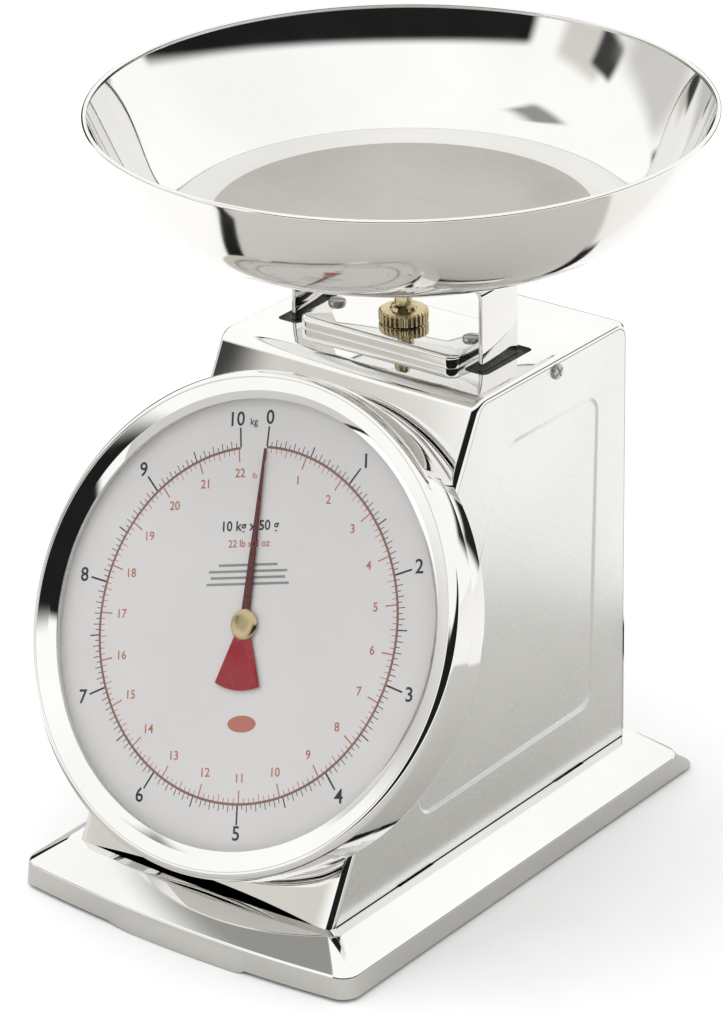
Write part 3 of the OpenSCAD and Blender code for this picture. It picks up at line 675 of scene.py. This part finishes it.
def make_print():
    black, red, grey = [], [], []
    verts, faces = [], []
    for k in range(201):
        a = ZERO_AT + DEG_PER_KG * k / 20
        length = 8.5 if k % 20 == 0 else 4.6 if k % 10 == 0 else 3.2 if k % 2 == 0 else 2.0
        width = 0.8 if k % 20 == 0 else 0.55 if k % 10 == 0 else 0.35
        tick(verts, faces, a, KG_TICKS, KG_TICKS + length, width)
    black.append(solid("ticks", verts, faces, INK_BLACK, FACE))
    for k in range(11):
        a = ZERO_AT + DEG_PER_KG * k
        black.append(lettering(str(k), 8.6, a - (1.2 if k == 10 else 0), 88.4, ART_TURN,
                               INK_BLACK, 0.12))
    black.append(lettering("kg", 4.4, ZERO_AT + SWEEP + 4.6, 86.6, ART_TURN, INK_BLACK, 0.05))
    black.append(lettering("10 kg x 50 g", 6.0, ART_TURN, 42.0, ART_TURN, INK_BLACK, 0.12))

    per_lb = DEG_PER_KG * KG_PER_LB
    verts, faces = [], []
    for k in range(22 * 8 + 1):
        a = ZERO_AT + per_lb * k / 8
        length = 5.5 if k % 8 == 0 else 3.2 if k % 4 == 0 else 2.0
        tick(verts, faces, a, LB_TICKS - length, LB_TICKS, 0.6 if k % 8 == 0 else 0.35)
    red.append(solid("ticks", verts, faces, INK_RED, FACE))
    for k in range(1, 23):
        red.append(lettering(str(k), 5.4, ZERO_AT + per_lb * k, 65.0, ART_TURN, INK_RED, 0.08))
    red.append(lettering("lb", 3.4, ZERO_AT + SWEEP + 6.0, 63.4, ART_TURN, INK_RED, 0.04))
    red.append(lettering("22 lb x 2 oz", 4.4, ART_TURN, 34.5, ART_TURN, INK_RED, 0.08))
    oval = [(7.2 * math.cos(a), 3.6 * math.sin(a))
            for a in (2 * math.pi * k / 48 for k in range(48))]
    x, y = on_dial(180 + ART_TURN, 42.0)
    tilt = Matrix.Rotation(math.radians(-ART_TURN), 4, "Z")
    red.append(bar("oval", oval, INK_LOW, CARD_Z + INK, INK_RED,
                   FACE @ Matrix.Translation((x, y, 0)) @ tilt))

    r0, r1, top = 75.3, 76.4, CARD_Z + INK + 0.01
    ring = [(r0, INK_LOW), (r1, INK_LOW), (r1, top), (r0, top)]
    rings = []
    steps = 240
    for k in range(steps + 1):
        a = math.radians(90 - (ZERO_AT + SWEEP * k / steps))
        rings.append([(r * math.cos(a), r * math.sin(a), z) for r, z in ring])
    verts, faces = loft(rings, wrap=False, caps=True)
    circle_line = solid("dial_ring_line", verts, faces, INK_RING, FACE)

    for up, half in ((25.5, 15), (22.8, 20), (20.1, 19), (17.4, 21)):
        x, y = on_dial(ART_TURN, up)
        grey.append(bar("rule", rectangle(-half, half, -0.55, 0.55), INK_LOW, CARD_Z + INK,
                        INK_GREY, FACE @ Matrix.Translation((x, y, 0)) @ tilt))

    for name, parts in (("dial_print_black", black), ("dial_print_red", red),
                        ("dial_print_grey", grey)):
        settle(join(name, parts), "dial", "dial_print")
    settle(circle_line, "dial", "dial_print")


# ------------------------------------------------------------ pointer
def make_pointer():
    low, high = 22.0, 22.5
    turn = FACE @ Matrix.Rotation(math.radians(-ZERO_AT), 4, "Z")
    needle = fillet([(-2.3, -1.0), (2.3, -1.0), (0.45, 75.2), (-0.45, 75.2)],
                    [0.2, 0.2, 0.4, 0.4], 4)
    blade = bar("needle", needle, low, high, NEEDLE, turn, 0.12)
    hub = bar("hub_plate", circle(5.6, 64), low, high - 0.02, TAIL, turn, 0.12)
    fan = [(3.2, -2)] + [(28 * math.sin(a), -28 * math.cos(a)) for a in
                         (math.radians(24 - 48 * k / 16) for k in range(17))] + [(-3.2, -2)]
    tail = bar("tail", fan, low, high - 0.04, TAIL, turn, 0.15)
    settle(join("pointer_blade", [blade, hub, tail]), "pointer", "red_paint", "pointer")
    dome = [(1.0, 22.5), (6.6, 22.5)]
    for k in range(9):
        a = math.radians(90 * k / 8)
        dome.append((6.6 * math.cos(a) if k < 8 else 0.01, 22.6 + 0.95 * math.sin(a)))
    dome.append((0.01, 23.0))
    dome.append((1.0, 23.0))
    cap = lathe("pointer_cap", dome, BRASS, FACE, 96)
    settle(cap, "pointer", "brass", "pointer_nut")


# ------------------------------------------------------------ posts and nut
def make_strap():
    """Inverted U of flat strap with round bends and soft edges."""
    t, half = 2.0, 13.0
    path = fillet([(-POST_X, 62), (-POST_X, 261), (POST_X, 261), (POST_X, 62)], 4.0, 8,
                  closed=False)
    outline = fillet([(-half, -t / 2), (half, -t / 2), (half, t / 2), (-half, t / 2)], 0.35, 3)
    rings = []
    for k, (x, z) in enumerate(path):
        a = Vector(path[max(k - 1, 0)])
        b = Vector(path[min(k + 1, len(path) - 1)])
        d = (b - a).normalized()
        side = Vector((-d.y, d.x))
        rings.append([(x + side.x * v, MAST_Y + u, z + side.y * v) for u, v in outline])
    verts, faces = loft(rings, wrap=False, caps=True)
    settle(solid("strap_frame", verts, faces, POLISHED), "load_frame", "polished_steel",
           "load_strap")


def make_saucer():
    low, high, r = 262.0, 281.45, 70.0
    profile = fillet([
        (0.01, low), (34, low), (62, high - 4), (r - 4, high - 1.2), (r, high - 1.2), (r, high),
        (r - 4.5, high), (61, high - 2.6), (33.5, low + 1.2), (0.01, low + 1.2),
    ], [0, 4, 3, 1, 0.4, 0.4, 1, 3, 4, 0], 5)
    settle(lathe("saucer_shell", profile, SATIN, MAST, 192), "load_frame", "side_steel",
           "pan_support")


def make_zero_nut():
    low, knurl_top = CASE_TOP + 6.1, CASE_TOP + 11.9
    profile = [(3.06, low), (9.6, low), (10.9, low + 0.8), (10.9, knurl_top - 0.8),
               (9.8, knurl_top), (6.0, knurl_top + 0.1), (5.4, knurl_top + 1.6),
               (3.9, knurl_top + 2.4), (3.8, CASE_TOP + 19.4), (3.5, CASE_TOP + 20),
               (3.06, CASE_TOP + 20)]

    def wave(a, k):
        return -0.3 + 0.3 * math.cos(30 * a) if k in (2, 3) else 0.0

    settle(lathe("zero_nut_turned", profile, BRASS, MAST, 360, wave=wave), "zero_nut",
           "brass", "zero_nut")
    stem = fillet([(0.01, 206), (3, 206), (3, CASE_TOP + 21.3), (0.01, CASE_TOP + 21.3)],
                  [0, 0, 0.6, 0], 3)
    settle(lathe("stem_rod", stem, PLATED, MAST, 48), "case", "inner_steel", "zero_stem")


# ------------------------------------------------------------ bowl
def bowl_wall(flat, wide, low, top, n=40):
    out = []
    for i in range(n + 1):
        s = math.sin(math.pi / 2 * i / n)
        out.append((flat + (wide - flat) * s, low + (top - low) * s ** 2.3))
    return out


def make_bowl():
    """Spun bowl: satin inside on the flat, polished wall, duller outside."""
    r, top, low, flat = 135.0, 330.0, 281.5, 90.0
    outer = bowl_wall(flat, r - 1.0, low, top - 2)
    inner = bowl_wall(flat - 0.4, r - 2.0, low + 1, top - 2)
    satin = [(x, low + 1) for x in (SATIN_R, 60.0, 30.0, 0.01)]
    bead = [(r - 0.15, top - 1.7), (r, top - 1.0), (r - 0.25, top - 0.3), (r - 0.9, top),
            (r - 1.8, top - 0.1), (r - 2.3, top - 0.7), (r - 2.2, top - 1.4)]
    profile = [(0.01, low), (44, low)] + outer + bead + inner[::-1] + satin
    bowl = lathe("bowl_shell", profile, POLISHED, MAST, 256, angle=60)
    bowl.data.materials.append(SPUN)
    bowl.data.materials.append(BOWL_OUT)
    for face in bowl.data.polygons:
        spot = face.center
        away = math.hypot(spot.x, spot.y - MAST_Y * MM)
        if face.normal.z > 0.5 and away < SATIN_R * MM:
            face.material_index = 1
        elif face.normal.z < 0 and spot.z < (top - 2.2) * MM:
            face.material_index = 2
    settle(bowl, "bowl", "polished_steel", "bowl")


# ------------------------------------------------------------ everything
make_base()
make_case()
make_side(1, "side_sheet_right", "side_panel_right")
make_side(-1, "side_sheet_left", "side_panel_left")
make_screws()
make_bridge()
make_drum()
make_bezel()
make_spacer()
make_glass()
make_print()
make_pointer()
make_strap()
make_saucer()
make_zero_nut()
make_bowl()

# CAD nodes that stay get a finish of their own
FINISH = {
    "rubber_feet": RUBBER, "floor_plate": PLATED, "dial_card": CARD, "bearing_front": BRASS,
    "bearing_rear": BRASS, "rack_guide": BLACK, "strap_guides": BLACK, "spring_left": SPRING,
    "spring_right": SPRING, "guide_bush": BRASS, "pinion": BRASS, "rack": BRASS,
}
for name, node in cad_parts.items():
    finish = FINISH.get(name, PLATED)
    if node.material_slots:
        for entry in node.material_slots:
            entry.material = finish
    else:
        node.data.materials.append(finish)


# ------------------------------------------------------------ studio
def math_node(nodes, links, kind, a, b):
    node = add(nodes, "ShaderNodeMath", operation=kind)
    for slot, value in enumerate((a, b)):
        if isinstance(value, (int, float)):
            node.inputs[slot].default_value = value
        else:
            links.new(value, node.inputs[slot])
    return node.outputs[0]


def step(nodes, links, value, edge, soft):
    """0 below the edge and 1 above it."""
    node = add(nodes, "ShaderNodeMapRange", interpolation_type="SMOOTHSTEP")
    node.inputs["From Min"].default_value = edge - soft
    node.inputs["From Max"].default_value = edge + soft
    links.new(value, node.inputs["Value"])
    return node.outputs[0]


def band(nodes, links, value, low, high, soft):
    """1 between low and high and 0 outside them."""
    down = math_node(nodes, links, "SUBTRACT", 1.0, step(nodes, links, value, high, soft))
    return math_node(nodes, links, "MULTIPLY", step(nodes, links, value, low, soft), down)


def over(nodes, links, under, colour, mask):
    """Lays a colour over another where the mask is 1."""
    mix = add(nodes, "ShaderNodeMix", data_type="RGBA")
    links.new(mask, mix.inputs[0])
    if isinstance(under, tuple):
        mix.inputs[6].default_value = (*under, 1)
    else:
        links.new(under, mix.inputs[6])
    mix.inputs[7].default_value = (*colour, 1)
    return mix.outputs[2]


# the board that reflections see on the floor, in metres: its edges, how far its
# left edge swings out per metre in front of the scale, and where the board's
# grey and its dark rim give way to a paler tone on the right
BOARD_LEFT, BOARD_FRONT, BOARD_BACK, BOARD_SWING = -0.19, -0.24, 0.225, 2.2
BOARD_RIM_END = 0.15
BOARD_GREY, BOARD_PALE = (0.54, 0.53, 0.505), (0.84, 0.835, 0.82)


def make_floor():
    """White floor, on which a grey board with a dark edge shows in reflections."""
    mat, nodes, links, bsdf = new_material("studio_floor")
    grain = mapped_noise(nodes, links, (1, 1, 1), 30.0)
    white = two_tone(nodes, links, grain, (0.88, 0.88, 0.88), (0.90, 0.90, 0.90))
    place = add(nodes, "ShaderNodeTexCoord")
    split = add(nodes, "ShaderNodeSeparateXYZ")
    links.new(place.outputs["Object"], split.inputs[0])
    x, y = split.outputs["X"], split.outputs["Y"]
    ahead = math_node(nodes, links, "MAXIMUM",
                      math_node(nodes, links, "SUBTRACT", BOARD_FRONT, y), 0.0)
    from_left = math_node(nodes, links, "ADD", math_node(nodes, links, "ADD", x, -BOARD_LEFT),
                          math_node(nodes, links, "MULTIPLY", ahead, BOARD_SWING))
    from_back = math_node(nodes, links, "SUBTRACT", BOARD_BACK, y)
    inside = math_node(nodes, links, "MINIMUM", from_left, from_back)
    rim_end = step(nodes, links, x, BOARD_RIM_END, 0.02)
    board = over(nodes, links, (0.9, 0.9, 0.9), BOARD_PALE, rim_end)
    board = over(nodes, links, board, BOARD_GREY, step(nodes, links, inside, 0.0, 0.012))
    rim = math_node(nodes, links, "MULTIPLY", band(nodes, links, inside, -0.022, 0.018, 0.005),
                    math_node(nodes, links, "SUBTRACT", 1.0, rim_end))
    board = over(nodes, links, board, (0.01, 0.01, 0.01), rim)
    ray = add(nodes, "ShaderNodeLightPath")
    pick = add(nodes, "ShaderNodeMix", data_type="RGBA")
    links.new(ray.outputs["Is Glossy Ray"], pick.inputs[0])
    links.new(white, pick.inputs[6])
    links.new(board, pick.inputs[7])
    links.new(pick.outputs[2], bsdf.inputs["Base Color"])
    bsdf.inputs["Roughness"].default_value = 0.9
    bsdf.inputs["Specular IOR Level"].default_value = 0.0
    mesh = bpy.data.meshes.new("studio_floor")
    n, r = 96, 1.6
    ring = [(r * math.cos(2 * math.pi * k / n), r * math.sin(2 * math.pi * k / n), 0)
            for k in range(n)]
    mesh.from_pydata(ring, [], [tuple(range(n))])
    mesh.materials.append(mat)
    link_mesh("studio_floor", mesh)


# The studio that reflections see. Bearings are in degrees and heights are sines.
DARK_SIDE = 125.0                   # turns the studio round the scale
LIGHT = 1.15
BLACK_TONE = (0.012, 0.012, 0.012)
ARCH_FROM, ARCH_TO = -90, 72        # the dark side ends here
ARCH_FOOT, ARCH_PEAK = 0.04, 0.57
ARCH_MIDDLE, ARCH_FALL = 18.0, 3.4e-5   # its top falls with the square of the bearing
# patches on it: bearings, heights, softness of each, colour
PATCHES = [
    (84, 106, 0.22, 0.46, 3.0, 0.04, (0.66, 0.645, 0.60)),
    (100, 112, 0.26, 0.40, 2.0, 0.02, (0.05, 0.05, 0.05)),
    (96, 128, 0.77, 0.88, 5.0, 0.03, (0.30, 0.30, 0.285)),
    (112, 150, -0.3, 0.30, 8.0, 0.06, (0.62, 0.61, 0.59)),
    (157, 190, -0.3, 0.30, 3.0, 0.03, (0.015, 0.015, 0.015)),
    (-190, -175, -0.3, 0.30, 3.0, 0.03, (0.015, 0.015, 0.015)),
    (-190, -112, -0.3, 0.03, 3.0, 0.02, (0.015, 0.015, 0.015)),
]


def make_world():
    """Plain white light; reflections see a white studio with a dark side."""
    world = bpy.data.worlds.new("studio")
    bpy.context.scene.world = world
    world.use_nodes = True
    nodes, links = world.node_tree.nodes, world.node_tree.links
    nodes.clear()
    place = add(nodes, "ShaderNodeTexCoord")
    turn = add(nodes, "ShaderNodeVectorRotate", rotation_type="Z_AXIS")
    turn.inputs["Angle"].default_value = math.radians(DARK_SIDE)
    links.new(place.outputs["Generated"], turn.inputs["Vector"])
    split = add(nodes, "ShaderNodeSeparateXYZ")
    links.new(turn.outputs[0], split.inputs[0])
    bearing = math_node(nodes, links, "MULTIPLY",
                        math_node(nodes, links, "ARCTAN2", split.outputs["X"],
                                  split.outputs["Y"]), 180 / math.pi)
    height = split.outputs["Z"]
    off = math_node(nodes, links, "SUBTRACT", bearing, ARCH_MIDDLE)
    sag = math_node(nodes, links, "MULTIPLY", math_node(nodes, links, "MULTIPLY", off, off),
                    ARCH_FALL)
    under = band(nodes, links, math_node(nodes, links, "ADD", height, sag), -1, ARCH_PEAK, 0.025)
    arch = math_node(nodes, links, "MULTIPLY",
                     band(nodes, links, bearing, ARCH_FROM, ARCH_TO, 2.5),
                     math_node(nodes, links, "MULTIPLY",
                               step(nodes, links, height, ARCH_FOOT, 0.03), under))
    tone = over(nodes, links, (1.0, 1.0, 0.99), BLACK_TONE, arch)
    for a0, a1, z0, z1, soft_a, soft_z, colour in PATCHES:
        mask = math_node(nodes, links, "MULTIPLY",
                         band(nodes, links, bearing, a0, a1, soft_a),
                         band(nodes, links, height, z0, z1, soft_z))
        tone = over(nodes, links, tone, colour, mask)
    studio = add(nodes, "ShaderNodeBackground")
    links.new(tone, studio.inputs["Color"])
    studio.inputs["Strength"].default_value = LIGHT
    white = add(nodes, "ShaderNodeBackground")
    white.inputs["Color"].default_value = (1, 1, 1, 1)
    white.inputs["Strength"].default_value = LIGHT
    ray = add(nodes, "ShaderNodeLightPath")
    pick = add(nodes, "ShaderNodeMixShader")
    out = add(nodes, "ShaderNodeOutputWorld")
    links.new(ray.outputs["Is Glossy Ray"], pick.inputs[0])
    links.new(white.outputs[0], pick.inputs[1])
    links.new(studio.outputs[0], pick.inputs[2])
    links.new(pick.outputs[0], out.inputs["Surface"])


def area_light(name, where, target, size, power):
    """Soft light that reflections don't see."""
    data = bpy.data.lights.new(name, "AREA")
    data.shape = "RECTANGLE"
    data.size, data.size_y = size
    data.energy = power
    obj = bpy.data.objects.new(name, data)
    bpy.context.scene.collection.objects.link(obj)
    obj.location = where
    obj.visible_glossy = False
    aim = Vector(target) - Vector(where)
    obj.rotation_euler = aim.to_track_quat("-Z", "Y").to_euler()


# the camera: its angles in degrees, and where it aims and how far it stands in mm
AZIMUTH, ELEVATION, ROLL = 37.48, 24.85, -1.008
AIM = (-25.34301, 19.770814, 133.560504)
DISTANCE = 2070.5454
LENS = 164.47


def make_camera():
    """Long lens from the right of the front, above the dial."""
    azimuth, elevation, roll = (math.radians(v) for v in (AZIMUTH, ELEVATION, ROLL))
    back = Vector((math.sin(azimuth) * math.cos(elevation),
                   -math.cos(azimuth) * math.cos(elevation), math.sin(elevation)))
    right = (-back).cross(Vector((0, 0, 1))).normalized()
    up = right.cross(-back)
    right, up = (math.cos(roll) * right + math.sin(roll) * up,
                 math.cos(roll) * up - math.sin(roll) * right)
    data = bpy.data.cameras.new("camera")
    data.sensor_width = 36.0
    data.sensor_fit = "AUTO"
    data.lens = LENS
    data.clip_end = 50
    camera = bpy.data.objects.new("camera", data)
    bpy.context.scene.collection.objects.link(camera)
    rotation = Matrix((right, up, back)).transposed().to_4x4()
    spot = Vector(AIM) * MM + back * DISTANCE * MM
    camera.matrix_world = Matrix.Translation(spot) @ rotation
    bpy.context.scene.camera = camera


make_floor()
make_world()
area_light("key_top", (-0.3, -0.2, 1.6), (0, 0, 0.1), (1.6, 1.6), 8.0)
make_camera()
bpy.context.scene.view_settings.view_transform = "Standard"
